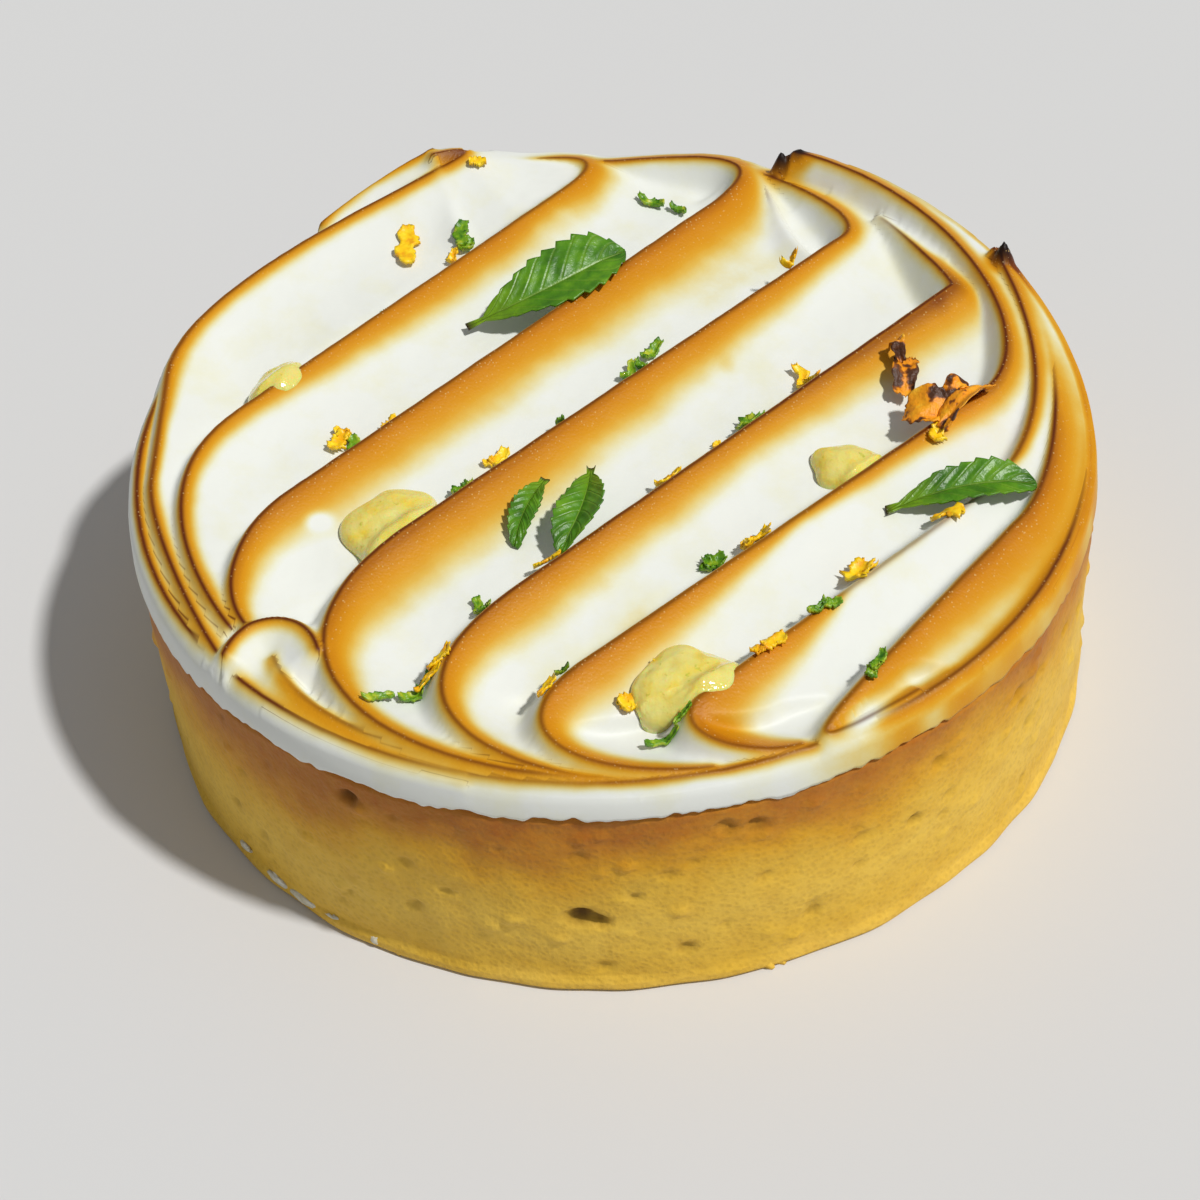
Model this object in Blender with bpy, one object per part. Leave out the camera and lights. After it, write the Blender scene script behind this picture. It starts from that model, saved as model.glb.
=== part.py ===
"""A single lemon meringue tart, 80 mm across.

A short pastry case baked in a plain ring is filled level with its top. Soft meringue is spread on it
and swept with a palette knife into long ridges, which turn at both ends and run out along the rim.
Drops of lemon gel, mint leaves and dried petals lie on the meringue. Sizes are in millimetres in the
constants below, and MM turns them into metres.
"""

import math

import bmesh
import bpy
import numpy as np
from mathutils import Vector
from mathutils.bvhtree import BVHTree

MM = 0.001

# Pastry case, a ring tart 80 mm across and about 20 mm high, solid to its top.
CASE_RADIUS = 40.0
CASE_HEIGHT = 19.6
FOOT_HEIGHT = 1.3       # the thin foot that spread under the ring
FOOT_STEP = 0.35        # how far the wall stands in from the foot
TOP_ROUND = 0.5
BASE_ROUND = 0.3
CASE_STEPS = 96

# Meringue, spread over the whole top and cut flush with the wall.
GAP = 0.3               # left between pieces that touch
CAP_RADIUS = 39.5
RIM_RADIUS = 38.7
RIM_LEVEL = 23.1        # mean height of the rim
RIM_TILT = 0.8          # the rim is this much higher at the back and lower at the front
RIM_TILT_TURN = 115.0   # degrees, where the rim is highest
FLOOR_LEVEL = 21.3
CROWN_BLEND = 0.2       # how softly one ridge runs into the next
CREST_ROUND = 0.3
FRONT_DEPTH = 3.2       # fall of a ridge's long hollow side
FRONT_LENGTH = 4.6
FRONT_REACH = 9.0
FRONT_FADE = 0.1
BACK_SLOPE = 1.6        # fall per millimetre of its short steep side
END_SLOPE = 0.9         # fall per millimetre past a ridge's end
STROKE_TURN = math.radians(45.0)
GRID_CELLS = 110
KEPT_SHARE = 0.235

# Each ridge is one sweep of the knife. It starts on the rim, turns into a straight stroke across the
# tart and turns out to the rim again. near and far are (degrees round the rim, distance from the
# centre, height); turn_in and turn_out are (along, across, height) in the direction of the stroke;
# pulls are how far the line is drawn on at the rim, at the two turns and at the far rim.
STROKES = (
    dict(near=(218.5, 38.6, 23.4), turn_in=(-28.0, -24.8, 23.9), turn_out=(-18.5, -33.7, 24.4),
         far=(111, 38.0, 28.4), pulls=(2, 6, 15, 14)),
    dict(near=(215.5, 37.4, 23.8), turn_in=(-18.0, -25.0, 24.6), turn_out=(21.0, -24.4, 25.4),
         far=(106, 38.1, 25.2), pulls=(1, 13, 9, 9)),
    dict(near=(217, 35.5, 24.0), turn_in=(-24.0, -13.2, 25.3), turn_out=(26.0, -11.8, 25.6),
         far=(87, 37.6, 24.7), pulls=(5, 5, 14, 8)),
    dict(near=(270, 38.3, 22.3), turn_in=(-21.0, -2.7, 25.3), turn_out=(30.5, 0.6, 25.5),
         far=(65, 37.5, 24.3), pulls=(17, 19, 5, 1)),
    dict(near=(266, 38.3, 22.3), turn_in=(-20.5, 8.5, 24.9), turn_out=(30.0, 12.8, 25.9),
         far=(44, 35.7, 24.8), pulls=(5, 17, 1, 1)),
    dict(near=(278, 38.3, 22.3), turn_in=(-23.0, 17.7, 24.7), turn_out=(21.0, 22.7, 25.0),
         far=(60, 38.6, 26.8), pulls=(8, 10, 8, 16)),
    dict(near=(288, 38.3, 22.3), turn_in=(-19.5, 26.4, 24.2), turn_out=(11.0, 29.2, 23.8),
         far=(26, 38.6, 26.0), pulls=(5, 4, 14, 1)),
    dict(near=(294, 38.3, 22.2), turn_in=(-10.5, 34.3, 23.7), turn_out=(11.0, 33.2, 23.8),
         far=(10, 37.8, 23.2), pulls=(7, 5, 6, 7)),
)

# Short folds between the ridges, each drawn by four points (x, y) and a height at either end.
FOLDS = (
    dict(points=((-30.2, -23.9), (-28.8, -19.2), (-24.0, -19.8), (-23.0, -24.6)), heights=(24.2, 24.6)),
    dict(points=((-26.5, -23.8), (-25.0, -29.0), (-20.0, -32.5), (-12.0, -36.0)), heights=(23.4, 22.6)),
    dict(points=((15.4, 34.6), (17.2, 30.0), (16.4, 26.0), (19.5, 21.0)), heights=(24.6, 23.6)),
    dict(points=((-24.3, 31.1), (-22.6, 33.4), (-18.2, 36.0), (-13.6, 37.0)), heights=(24.8, 28.6)),
)
LINE_STEPS = 28

# Toppings, all lying on the meringue.
REST = 0.35             # clearance under toppings
GEL_HEIGHT = 1.3
GEL_EDGE = 0.25         # share of the drop's lower half that is kept, so its edge is thick
GELS = (                # centre (x, y), half length and half width, degrees turned
    (-27.4, 9.6, 3.0, 2.4, 60),
    (-17.7, -10.2, 4.4, 3.6, 68),
    (18.6, -7.4, 2.8, 2.2, 10),
    (3.9, -30.0, 4.2, 3.0, 20),
    (-1.6, 18.6, 2.0, 1.3, 40),
)
LEAF_THICKNESS = 0.4
LEAF_COLUMNS = 14
LEAF_ROWS = 4
# Each blade lies from start to end (x, y). lift is its height over the meringue at both ends, fold
# how steeply its halves rise from the midrib, roll how far it leans to one side, bow how far it arches.
LEAVES = (
    dict(start=(-11.3, 15.2), end=(3.0, 21.2), width=6.6, lift=(0.5, 1.6), fold=0.35, roll=-20, bow=1.0),
    dict(start=(-1.6, -7.0), end=(-4.5, -15.6), width=4.0, lift=(1.8, 0.9), fold=0.5, roll=12, bow=0.5),
    dict(start=(21.0, -13.6), end=(33.0, -12.4), width=4.4, lift=(0.6, 1.4), fold=0.4, roll=-14, bow=0.7),
    dict(start=(-5.3, -7.6), end=(-8.1, -13.6), width=2.2, lift=(0.9, 0.7), fold=0.4, roll=-8, bow=0.3),
)
PETALS = (
    dict(start=(24.4, 0.0), end=(25.4, 4.4), width=2.2, lift=(0.8, 1.0), fold=0.2, roll=10, bow=0.5),
    dict(start=(24.8, -4.8), end=(30.4, -1.0), width=4.0, lift=(0.8, 1.2), fold=0.3, roll=-8, bow=0.6),
)


def clear_scene():
    for old in list(bpy.data.objects):
        bpy.data.objects.remove(old, do_unlink=True)


def material(name, colour, roughness, metallic=0.0):
    made = bpy.data.materials.new(name)
    made.use_nodes = True
    shader = made.node_tree.nodes["Principled BSDF"]
    shader.inputs["Base Color"].default_value = (*colour, 1.0)
    shader.inputs["Roughness"].default_value = roughness
    shader.inputs["Metallic"].default_value = metallic
    return made


def add_object(name, shape, finish, collection):
    """Turns a bmesh in millimetres into an object in metres."""
    bmesh.ops.scale(shape, vec=(MM, MM, MM), verts=shape.verts)
    bmesh.ops.recalc_face_normals(shape, faces=shape.faces)
    mesh = bpy.data.meshes.new(name)
    shape.to_mesh(mesh)
    shape.free()
    mesh.shade_smooth()
    mesh.materials.append(finish)
    made = bpy.data.objects.new(name, mesh)
    collection.objects.link(made)
    return made


# ---- Lines drawn by the knife -----------------------------------------------------------------


def bezier(start, pull_out, pull_in, end, steps=LINE_STEPS):
    u = np.linspace(0.0, 1.0, steps)[:, None]
    corners = [np.asarray(p, float) for p in (start, pull_out, pull_in, end)]
    weights = ((1 - u) ** 3, 3 * (1 - u) ** 2 * u, 3 * (1 - u) * u * u, u**3)
    return sum(w * p for w, p in zip(weights, corners))


def on_rim(degrees, distance):
    """The point at this turn round the rim, and the clockwise direction along it."""
    turn = math.radians(degrees)
    out = np.array([math.cos(turn), math.sin(turn)])
    return distance * out, np.array([out[1], -out[0]])


def stroke_line(stroke):
    """The crest of one ridge, as points (x, y, z)."""
    along = np.array([math.cos(STROKE_TURN), math.sin(STROKE_TURN)])
    across = np.array([along[1], -along[0]])
    near, near_way = on_rim(*stroke["near"][:2])
    far, far_way = on_rim(*stroke["far"][:2])
    first = stroke["turn_in"][0] * along + stroke["turn_in"][1] * across
    last = stroke["turn_out"][0] * along + stroke["turn_out"][1] * across
    way = (last - first) / np.linalg.norm(last - first)
    near_pull, in_pull, out_pull, far_pull = stroke["pulls"]
    parts = (
        bezier(near, near + near_pull * near_way, first - in_pull * way, first),
        np.linspace(first, last, LINE_STEPS),
        bezier(last, last + out_pull * way, far + far_pull * far_way, far),
    )
    flat = np.concatenate([parts[0], parts[1][1:], parts[2][1:]])
    corners = np.arange(4) * (LINE_STEPS - 1)
    levels = [stroke[key][2] for key in ("near", "turn_in", "turn_out", "far")]
    heights = np.interp(np.arange(len(flat)), corners, levels)
    return np.column_stack([flat, heights])


def fold_line(fold):
    flat = bezier(*fold["points"])
    heights = np.linspace(*fold["heights"], len(flat))
    return np.column_stack([flat, heights])


def rim_line():
    """The rim of the meringue, clockwise all the way round."""
    turns = np.radians(np.arange(360.0, -0.1, -3.0))
    tilt = np.cos(turns - math.radians(RIM_TILT_TURN))
    return np.column_stack(
        [RIM_RADIUS * np.cos(turns), RIM_RADIUS * np.sin(turns), RIM_LEVEL + RIM_TILT * tilt]
    )


def crest_lines():
    return [stroke_line(s) for s in STROKES] + [fold_line(f) for f in FOLDS] + [rim_line()]


# ---- Height of the meringue -------------------------------------------------------------------


def distance_to(line, points):
    """Signed distance from the line, plus on its right, the line's height at the nearest point, and
    how far the point lies past the line's ends."""
    start = line[:-1]
    span = line[1:] - start
    length2 = (span[:, :2] ** 2).sum(1) + 1e-12
    last = len(span) - 1
    distance = np.empty(len(points))
    height = np.empty(len(points))
    beyond = np.empty(len(points))
    for first in range(0, len(points), 4096):
        block = points[first:first + 4096]
        offset = block[:, None, :] - start[None, :, :2]
        share = (offset * span[None, :, :2]).sum(2) / length2
        held = np.clip(share, 0.0, 1.0)
        away = offset - held[:, :, None] * span[None, :, :2]
        squared = (away**2).sum(2)
        best = squared.argmin(1)
        rows = np.arange(len(block))
        side = span[best, 1] * away[rows, best, 0] - span[best, 0] * away[rows, best, 1]
        before = np.where(best == 0, np.maximum(-share[rows, best], 0.0), 0.0)
        after = np.where(best == last, np.maximum(share[rows, best] - 1.0, 0.0), 0.0)
        distance[first:first + 4096] = np.sqrt(squared[rows, best]) * np.where(side < 0, -1, 1)
        height[first:first + 4096] = start[best, 2] + held[rows, best] * span[best, 2]
        beyond[first:first + 4096] = (before + after) * np.sqrt(length2[best])
    return distance, height, beyond


def fall(distance):
    """How far the surface lies below a crest: a long hollow on its right, a short drop on its left."""
    front = np.maximum(distance, 0.0)
    hollow = FRONT_DEPTH * (1.0 - np.exp(-((front / FRONT_LENGTH) ** 1.3)))
    hollow = hollow + FRONT_FADE * np.maximum(front - FRONT_REACH, 0.0) ** 2
    back = np.maximum(-distance, 0.0)
    drop = BACK_SLOPE * (np.sqrt(back**2 + CREST_ROUND**2) - CREST_ROUND)
    return hollow + drop


def surface_height(points):
    """Height of the meringue at points (x, y): the highest of all ridges, softly joined."""
    level = np.full(len(points), FLOOR_LEVEL / CROWN_BLEND)
    for line in crest_lines():
        distance, height, beyond = distance_to(line, points)
        ridge = height - fall(distance) - END_SLOPE * beyond
        level = np.logaddexp(level, ridge / CROWN_BLEND)
    return level * CROWN_BLEND


# ---- The pieces -------------------------------------------------------------------------------


def make_case(collection):
    """The case is turned: flat base, thin foot, straight wall and a rounded top edge."""
    wall = CASE_RADIUS - FOOT_STEP
    profile = (
        (0.0, CASE_HEIGHT),
        (wall - TOP_ROUND, CASE_HEIGHT),
        (wall, CASE_HEIGHT - TOP_ROUND),
        (wall, FOOT_HEIGHT + FOOT_STEP),
        (CASE_RADIUS, FOOT_HEIGHT),
        (CASE_RADIUS, BASE_ROUND),
        (CASE_RADIUS - BASE_ROUND, 0.0),
        (0.0, 0.0),
    )
    shape = bmesh.new()
    points = [shape.verts.new((x, 0.0, z)) for x, z in profile]
    for first, second in zip(points, points[1:]):
        shape.edges.new((first, second))
    bmesh.ops.spin(
        shape, geom=shape.verts[:] + shape.edges[:], cent=(0, 0, 0), axis=(0, 0, 1),
        angle=math.tau, steps=CASE_STEPS, use_merge=True,
    )
    bmesh.ops.remove_doubles(shape, verts=shape.verts, dist=1e-4)
    finish = material("baked_pastry", (0.55, 0.31, 0.07), 0.6)
    return add_object("pastry_case", shape, finish, collection)


def disc_point(x, y):
    """Maps a square from -1 to 1 onto the unit disc."""
    return x * math.sqrt(1 - y * y / 2), y * math.sqrt(1 - x * x / 2)


def make_meringue(collection):
    """A grid over the disc is lifted to the knife's ridges, walled down and closed underneath."""
    shape = bmesh.new()
    bmesh.ops.create_grid(shape, x_segments=GRID_CELLS, y_segments=GRID_CELLS, size=1.0)
    turned = []
    for point in shape.verts:
        u, v = disc_point(point.co.x, point.co.y)
        x = u * math.cos(STROKE_TURN) - v * math.sin(STROKE_TURN)
        y = u * math.sin(STROKE_TURN) + v * math.cos(STROKE_TURN)
        turned.append((CAP_RADIUS * x, CAP_RADIUS * y))
    for point, (x, y), z in zip(shape.verts, turned, surface_height(np.array(turned))):
        point.co = (x, y, z)
    edge = [e for e in shape.edges if e.is_boundary]
    wall = bmesh.ops.extrude_edge_only(shape, edges=edge)["geom"]
    foot = [g for g in wall if isinstance(g, bmesh.types.BMVert)]
    for point in foot:
        point.co.z = CASE_HEIGHT + GAP
    under = [g for g in wall if isinstance(g, bmesh.types.BMEdge)]
    bmesh.ops.contextual_create(shape, geom=under)
    finish = material("toasted_meringue", (0.86, 0.80, 0.66), 0.5)
    made = add_object("meringue", shape, finish, collection)
    thinned = made.modifiers.new("thinned", "DECIMATE")
    thinned.ratio = KEPT_SHARE
    return made


def resting_surface(meringue):
    """A function giving the height of the finished meringue mesh at (x, y), all in millimetres."""
    bpy.context.view_layer.update()
    tree = BVHTree.FromObject(meringue, bpy.context.evaluated_depsgraph_get())

    def height(x, y):
        hit = tree.ray_cast(Vector((x * MM, y * MM, 0.1)), Vector((0, 0, -1)))[0]
        return hit.z / MM

    return height


def make_gel(name, gel, height, finish, collection):
    """A drop squeezed onto the meringue: a low dome whose underside follows what it lies on."""
    centre_x, centre_y, long_half, short_half, degrees = gel
    turn = math.radians(degrees)
    shape = bmesh.new()
    bmesh.ops.create_uvsphere(shape, u_segments=18, v_segments=8, radius=1.0)
    for point in shape.verts:
        u = point.co.x * long_half
        v = point.co.y * short_half
        x = centre_x + u * math.cos(turn) - v * math.sin(turn)
        y = centre_y + u * math.sin(turn) + v * math.cos(turn)
        lift = max(point.co.z, -GEL_EDGE) + GEL_EDGE
        point.co = (x, y, height(x, y) + REST + GEL_HEIGHT * lift)
    return add_object(name, shape, finish, collection)


def leaf_outline(share):
    """Width of a mint leaf, as a share of its greatest, from stem (0) to tip (1)."""
    return 0.1 + 0.9 * math.sin(math.pi * share**1.4) ** 0.8


def petal_outline(share):
    """Width of a petal, narrow where it grew and broad at its outer edge."""
    return 0.35 + 0.65 * math.sin(math.pi * (0.1 + 0.75 * share))


def make_blade(name, blade, outline, height, finish, collection):
    """A thin leaf or petal, folded along its middle, rolled to one side and arched."""
    start = Vector(blade["start"])
    end = Vector(blade["end"])
    way = (end - start).normalized()
    side = Vector((-way.y, way.x))
    levels = [height(*spot) + lift for spot, lift in zip((start, end), blade["lift"])]
    lean = math.tan(math.radians(blade["roll"]))
    shape = bmesh.new()
    bmesh.ops.create_grid(shape, x_segments=LEAF_COLUMNS, y_segments=LEAF_ROWS, size=1.0)
    for point in shape.verts:
        share = (1 + point.co.x) / 2
        across = point.co.y * outline(share) * blade["width"] / 2
        spot = start.lerp(end, share) + side * across
        level = levels[0] + (levels[1] - levels[0]) * share + blade["bow"] * math.sin(math.pi * share)
        point.co = (spot.x, spot.y, level + blade["fold"] * abs(across) + lean * across)
    under = max(height(p.co.x, p.co.y) + REST - p.co.z for p in shape.verts)
    bmesh.ops.translate(shape, verts=shape.verts, vec=(0, 0, max(under, 0.0)))
    bmesh.ops.recalc_face_normals(shape, faces=shape.faces)
    top = bmesh.ops.extrude_face_region(shape, geom=shape.faces[:])["geom"]
    raised = [g for g in top if isinstance(g, bmesh.types.BMVert)]
    bmesh.ops.translate(shape, verts=raised, vec=(0, 0, LEAF_THICKNESS))
    return add_object(name, shape, finish, collection)


def main():
    clear_scene()
    tart = bpy.data.collections.new("lemon_meringue_tart")
    bpy.context.scene.collection.children.link(tart)
    make_case(tart)
    meringue = make_meringue(tart)
    height = resting_surface(meringue)
    gel_finish = material("lemon_gel", (0.72, 0.58, 0.16), 0.1)
    leaf_finish = material("mint_leaf", (0.05, 0.22, 0.02), 0.45)
    petal_finish = material("dried_petal", (0.80, 0.26, 0.02), 0.7)
    for number, gel in enumerate(GELS, 1):
        make_gel(f"lemon_gel_{number}", gel, height, gel_finish, tart)
    for number, leaf in enumerate(LEAVES, 1):
        make_blade(f"mint_leaf_{number}", leaf, leaf_outline, height, leaf_finish, tart)
    for number, petal in enumerate(PETALS, 1):
        make_blade(f"dried_petal_{number}", petal, petal_outline, height, petal_finish, tart)


main()
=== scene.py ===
import math
import random

import bmesh
import bpy
import numpy as np
from mathutils import Matrix, Vector, noise


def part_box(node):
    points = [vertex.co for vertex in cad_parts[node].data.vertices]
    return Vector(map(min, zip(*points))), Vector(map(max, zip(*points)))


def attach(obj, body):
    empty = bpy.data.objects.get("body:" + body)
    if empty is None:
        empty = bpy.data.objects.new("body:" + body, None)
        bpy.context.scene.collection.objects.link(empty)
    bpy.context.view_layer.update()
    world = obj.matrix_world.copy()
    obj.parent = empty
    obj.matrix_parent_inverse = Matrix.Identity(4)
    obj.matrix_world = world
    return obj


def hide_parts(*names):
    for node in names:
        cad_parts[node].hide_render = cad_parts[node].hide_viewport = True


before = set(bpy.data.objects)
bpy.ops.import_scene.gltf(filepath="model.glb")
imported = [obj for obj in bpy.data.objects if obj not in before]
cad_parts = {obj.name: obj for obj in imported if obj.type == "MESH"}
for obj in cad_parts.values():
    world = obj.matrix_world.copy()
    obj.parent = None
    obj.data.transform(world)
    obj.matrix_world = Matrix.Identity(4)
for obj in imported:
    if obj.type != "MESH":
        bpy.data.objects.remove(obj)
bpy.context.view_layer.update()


# ---- Pastry case --------------------------------------------------------------------------------
# The case is sweet short pastry pressed into a plain ring and baked. Its wall is straight and dry,
# with pits, blisters and fine crumb, a thin foot where it crept under the ring, and a browner rim.

MM = 0.001
case_low, case_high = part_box("pastry_case")
CASE_RADIUS = case_high.x / MM
CASE_HEIGHT = case_high.z / MM
FOOT_CREEP = 0.35         # how far the foot stands out past the wall
FOOT_CLEAR = 0.05
WALL_RADIUS = CASE_RADIUS - FOOT_CREEP
MIDDLE_RADIUS = 20.0
BASE_ROUND = 0.35
FOOT_ROW = 0.25
WALL_START = 0.3          # the wall's lowest row lies this far over the foot, its highest row
WALL_END = 0.5            # this far under the top
RIM_ROUND = ((0.25, 0.15), (0.7, 0.0))      # steps in from the wall, and down from the top
FOOT_HEIGHT = 1.2
WALL_ROWS = 62
WALL_STEPS = 600
PITS = (                # degrees round the wall, height, radius, depth
    (262.5, 8.4, 1.15, 0.9),
    (264.5, 8.0, 0.7, 0.7),
    (237.0, 17.3, 0.75, 0.8),
    (282.0, 16.6, 0.9, 0.35),
    (279.0, 16.9, 0.6, 0.35),
    (301.0, 10.4, 0.6, 0.5),
    (330.0, 15.2, 0.5, 0.4),
)
BLISTERS = 240
BLISTER_HEIGHTS = (2.5, 18.0)
BLISTER_SIZES = (0.25, 0.75)
BLISTER_DEPTHS = (-0.4, -0.3, 0.35, 0.55)   # as a share of the size; a negative one stands out


def colour(red, green, blue):
    """A colour named by its usual 0 to 255 values, as the shader's linear light."""
    parts = [c / 255 for c in (red, green, blue)]
    return (*[c / 12.92 if c <= 0.04045 else ((c + 0.055) / 1.055) ** 2.4 for c in parts], 1.0)


def new_finish(name):
    """A material, its node tree and its Principled shader."""
    made = bpy.data.materials.new(name)
    made.use_nodes = True
    tree = made.node_tree
    return made, tree, tree.nodes["Principled BSDF"]


def ramp(tree, stops, factor=None):
    """A colour ramp through (place, colour) stops."""
    made = tree.nodes.new("ShaderNodeValToRGB")
    band = made.color_ramp
    while len(band.elements) < len(stops):
        band.elements.new(0.5)
    for element, (place, shade) in zip(band.elements, stops):
        element.position = place
        element.color = shade
    if factor is not None:
        tree.links.new(factor, made.inputs["Fac"])
    return made.outputs["Color"]


def maths(tree, operation, first, second=None, third=None, clamp=False):
    made = tree.nodes.new("ShaderNodeMath")
    made.operation = operation
    made.use_clamp = clamp
    for socket, value in zip(made.inputs, (first, second, third)):
        if value is None:
            continue
        if isinstance(value, (int, float)):
            socket.default_value = value
        else:
            tree.links.new(value, socket)
    return made.outputs[0]


def blend_colours(tree, factor, first, second, mode="MIX"):
    made = tree.nodes.new("ShaderNodeMix")
    made.data_type = "RGBA"
    made.blend_type = mode
    for socket, value in ((made.inputs[0], factor), (made.inputs[6], first), (made.inputs[7], second)):
        if isinstance(value, (int, float, tuple)):
            socket.default_value = value
        else:
            tree.links.new(value, socket)
    return made.outputs[2]


def place_on_piece(tree):
    return tree.nodes.new("ShaderNodeTexCoord").outputs["Object"]


def mottle(tree, place, grain_mm, detail=3.0, roughness=0.55, lacunarity=2.0):
    """Noise of this grain, from 0 to 1."""
    made = tree.nodes.new("ShaderNodeTexNoise")
    made.inputs["Scale"].default_value = 1.0 / (grain_mm * MM)
    made.inputs["Detail"].default_value = detail
    made.inputs["Roughness"].default_value = roughness
    made.inputs["Lacunarity"].default_value = lacunarity
    tree.links.new(place, made.inputs["Vector"])
    return made.outputs["Fac"]


def crumb_group():
    """Fine crumb: pores and grains of a baked or dried surface, as a mask and a height."""
    group = bpy.data.node_groups.new("crumb", "ShaderNodeTree")
    inputs = (("Place", "NodeSocketVector"), ("Grain", "NodeSocketFloat"), ("Depth", "NodeSocketFloat"))
    for name, kind in inputs:
        group.interface.new_socket(name, in_out="INPUT", socket_type=kind)
    for name in ("Pores", "Height"):
        group.interface.new_socket(name, in_out="OUTPUT", socket_type="NodeSocketFloat")
    taken = group.nodes.new("NodeGroupInput")
    given = group.nodes.new("NodeGroupOutput")
    scale = maths(group, "DIVIDE", 1.0 / MM, taken.outputs["Grain"])
    fine = group.nodes.new("ShaderNodeTexNoise")
    fine.inputs["Detail"].default_value = 3.0
    fine.inputs["Roughness"].default_value = 0.65
    cells = group.nodes.new("ShaderNodeTexVoronoi")
    cells.feature = "F1"
    for texture in (fine, cells):
        group.links.new(taken.outputs["Place"], texture.inputs["Vector"])
        group.links.new(scale, texture.inputs["Scale"])
    pore = maths(group, "SUBTRACT", 0.62, cells.outputs["Distance"], clamp=True)
    rough = maths(group, "MULTIPLY", pore, fine.outputs["Fac"])
    group.links.new(maths(group, "MULTIPLY", rough, 2.2, clamp=True), given.inputs["Pores"])
    height = maths(group, "SUBTRACT", fine.outputs["Fac"], maths(group, "MULTIPLY", pore, 0.8))
    group.links.new(maths(group, "MULTIPLY", height, taken.outputs["Depth"]), given.inputs["Height"])
    return group


CRUMB = crumb_group()


def crumb(tree, place, grain_mm, depth_mm):
    made = tree.nodes.new("ShaderNodeGroup")
    made.node_tree = CRUMB
    tree.links.new(place, made.inputs["Place"])
    made.inputs["Grain"].default_value = grain_mm
    made.inputs["Depth"].default_value = depth_mm * MM
    return made


def bump(tree, height, distance=1.0, strength=1.0):
    made = tree.nodes.new("ShaderNodeBump")
    made.inputs["Strength"].default_value = strength
    made.inputs["Distance"].default_value = distance
    tree.links.new(height, made.inputs["Height"])
    return made.outputs["Normal"]


def pastry_finish():
    made, tree, shader = new_finish("baked_pastry")
    place = place_on_piece(tree)
    split = tree.nodes.new("ShaderNodeSeparateXYZ")
    tree.links.new(place, split.inputs[0])
    height = maths(tree, "DIVIDE", split.outputs["Z"], CASE_HEIGHT * MM)
    patches = mottle(tree, place, 9.0, detail=4.0)
    # Painted shade: the wall's colour is pushed towards brown on the left (minus x), the side turned away
    # from the lamp.
    left = maths(tree, "MULTIPLY", split.outputs["X"], -1.6)
    baked = maths(tree, "ADD", height, maths(tree, "MULTIPLY", maths(tree, "SUBTRACT", patches, 0.5), 0.5))
    baked = maths(tree, "ADD", baked, left)
    body = ramp(tree, (
        (0.0, colour(240, 196, 76)),
        (0.12, colour(226, 180, 54)),
        (0.35, colour(234, 192, 74)),
        (0.55, colour(230, 182, 56)),
        (0.70, colour(218, 156, 16)),
        (0.84, colour(192, 116, 0)),
        (0.94, colour(168, 84, 0)),
    ), baked)
    grain = crumb(tree, place, 0.5, 0.06)
    coarse = crumb(tree, place, 2.4, 0.10)
    tint = mottle(tree, place, 1.3, detail=5.0, roughness=0.7)
    body = blend_colours(tree, maths(tree, "MULTIPLY", tint, 0.3), body, colour(232, 196, 92))
    # Painted shade: the crumb's sunk pores, fine and coarse, are painted darker brown.
    fine_pore_shade = maths(tree, "MULTIPLY", grain.outputs["Pores"], 0.3)
    shade = blend_colours(tree, fine_pore_shade, body, colour(150, 104, 12))
    wide_pore_shade = maths(tree, "MULTIPLY", coarse.outputs["Pores"], 0.22)
    shade = blend_colours(tree, wide_pore_shade, shade, colour(180, 122, 10))
    # Painted shade: the pits sunk into the wall are painted dark brown, deeper pits darker.
    hollow = tree.nodes.new("ShaderNodeAttribute")
    hollow.attribute_name = "hollow"
    shade = blend_colours(tree, hollow.outputs["Fac"], shade, colour(92, 62, 10))
    tree.links.new(shade, shader.inputs["Base Color"])
    total = maths(tree, "ADD", grain.outputs["Height"], coarse.outputs["Height"])
    tree.links.new(bump(tree, total), shader.inputs["Normal"])
    shader.inputs["Roughness"].default_value = 0.55
    shader.inputs["Specular IOR Level"].default_value = 0.2
    return made


def add_piece(name, shape, finish, node=None):
    """Turns a bmesh in millimetres into a piece in metres that rides on the tart."""
    bmesh.ops.scale(shape, vec=(MM, MM, MM), verts=shape.verts)
    mesh = bpy.data.meshes.new(name)
    shape.to_mesh(mesh)
    shape.free()
    mesh.shade_smooth()
    mesh.materials.append(finish)
    piece = bpy.data.objects.new(name, mesh)
    bpy.context.scene.collection.objects.link(piece)
    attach(piece, "root")
    if node is not None:
        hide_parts(*node)
    return piece


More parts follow.
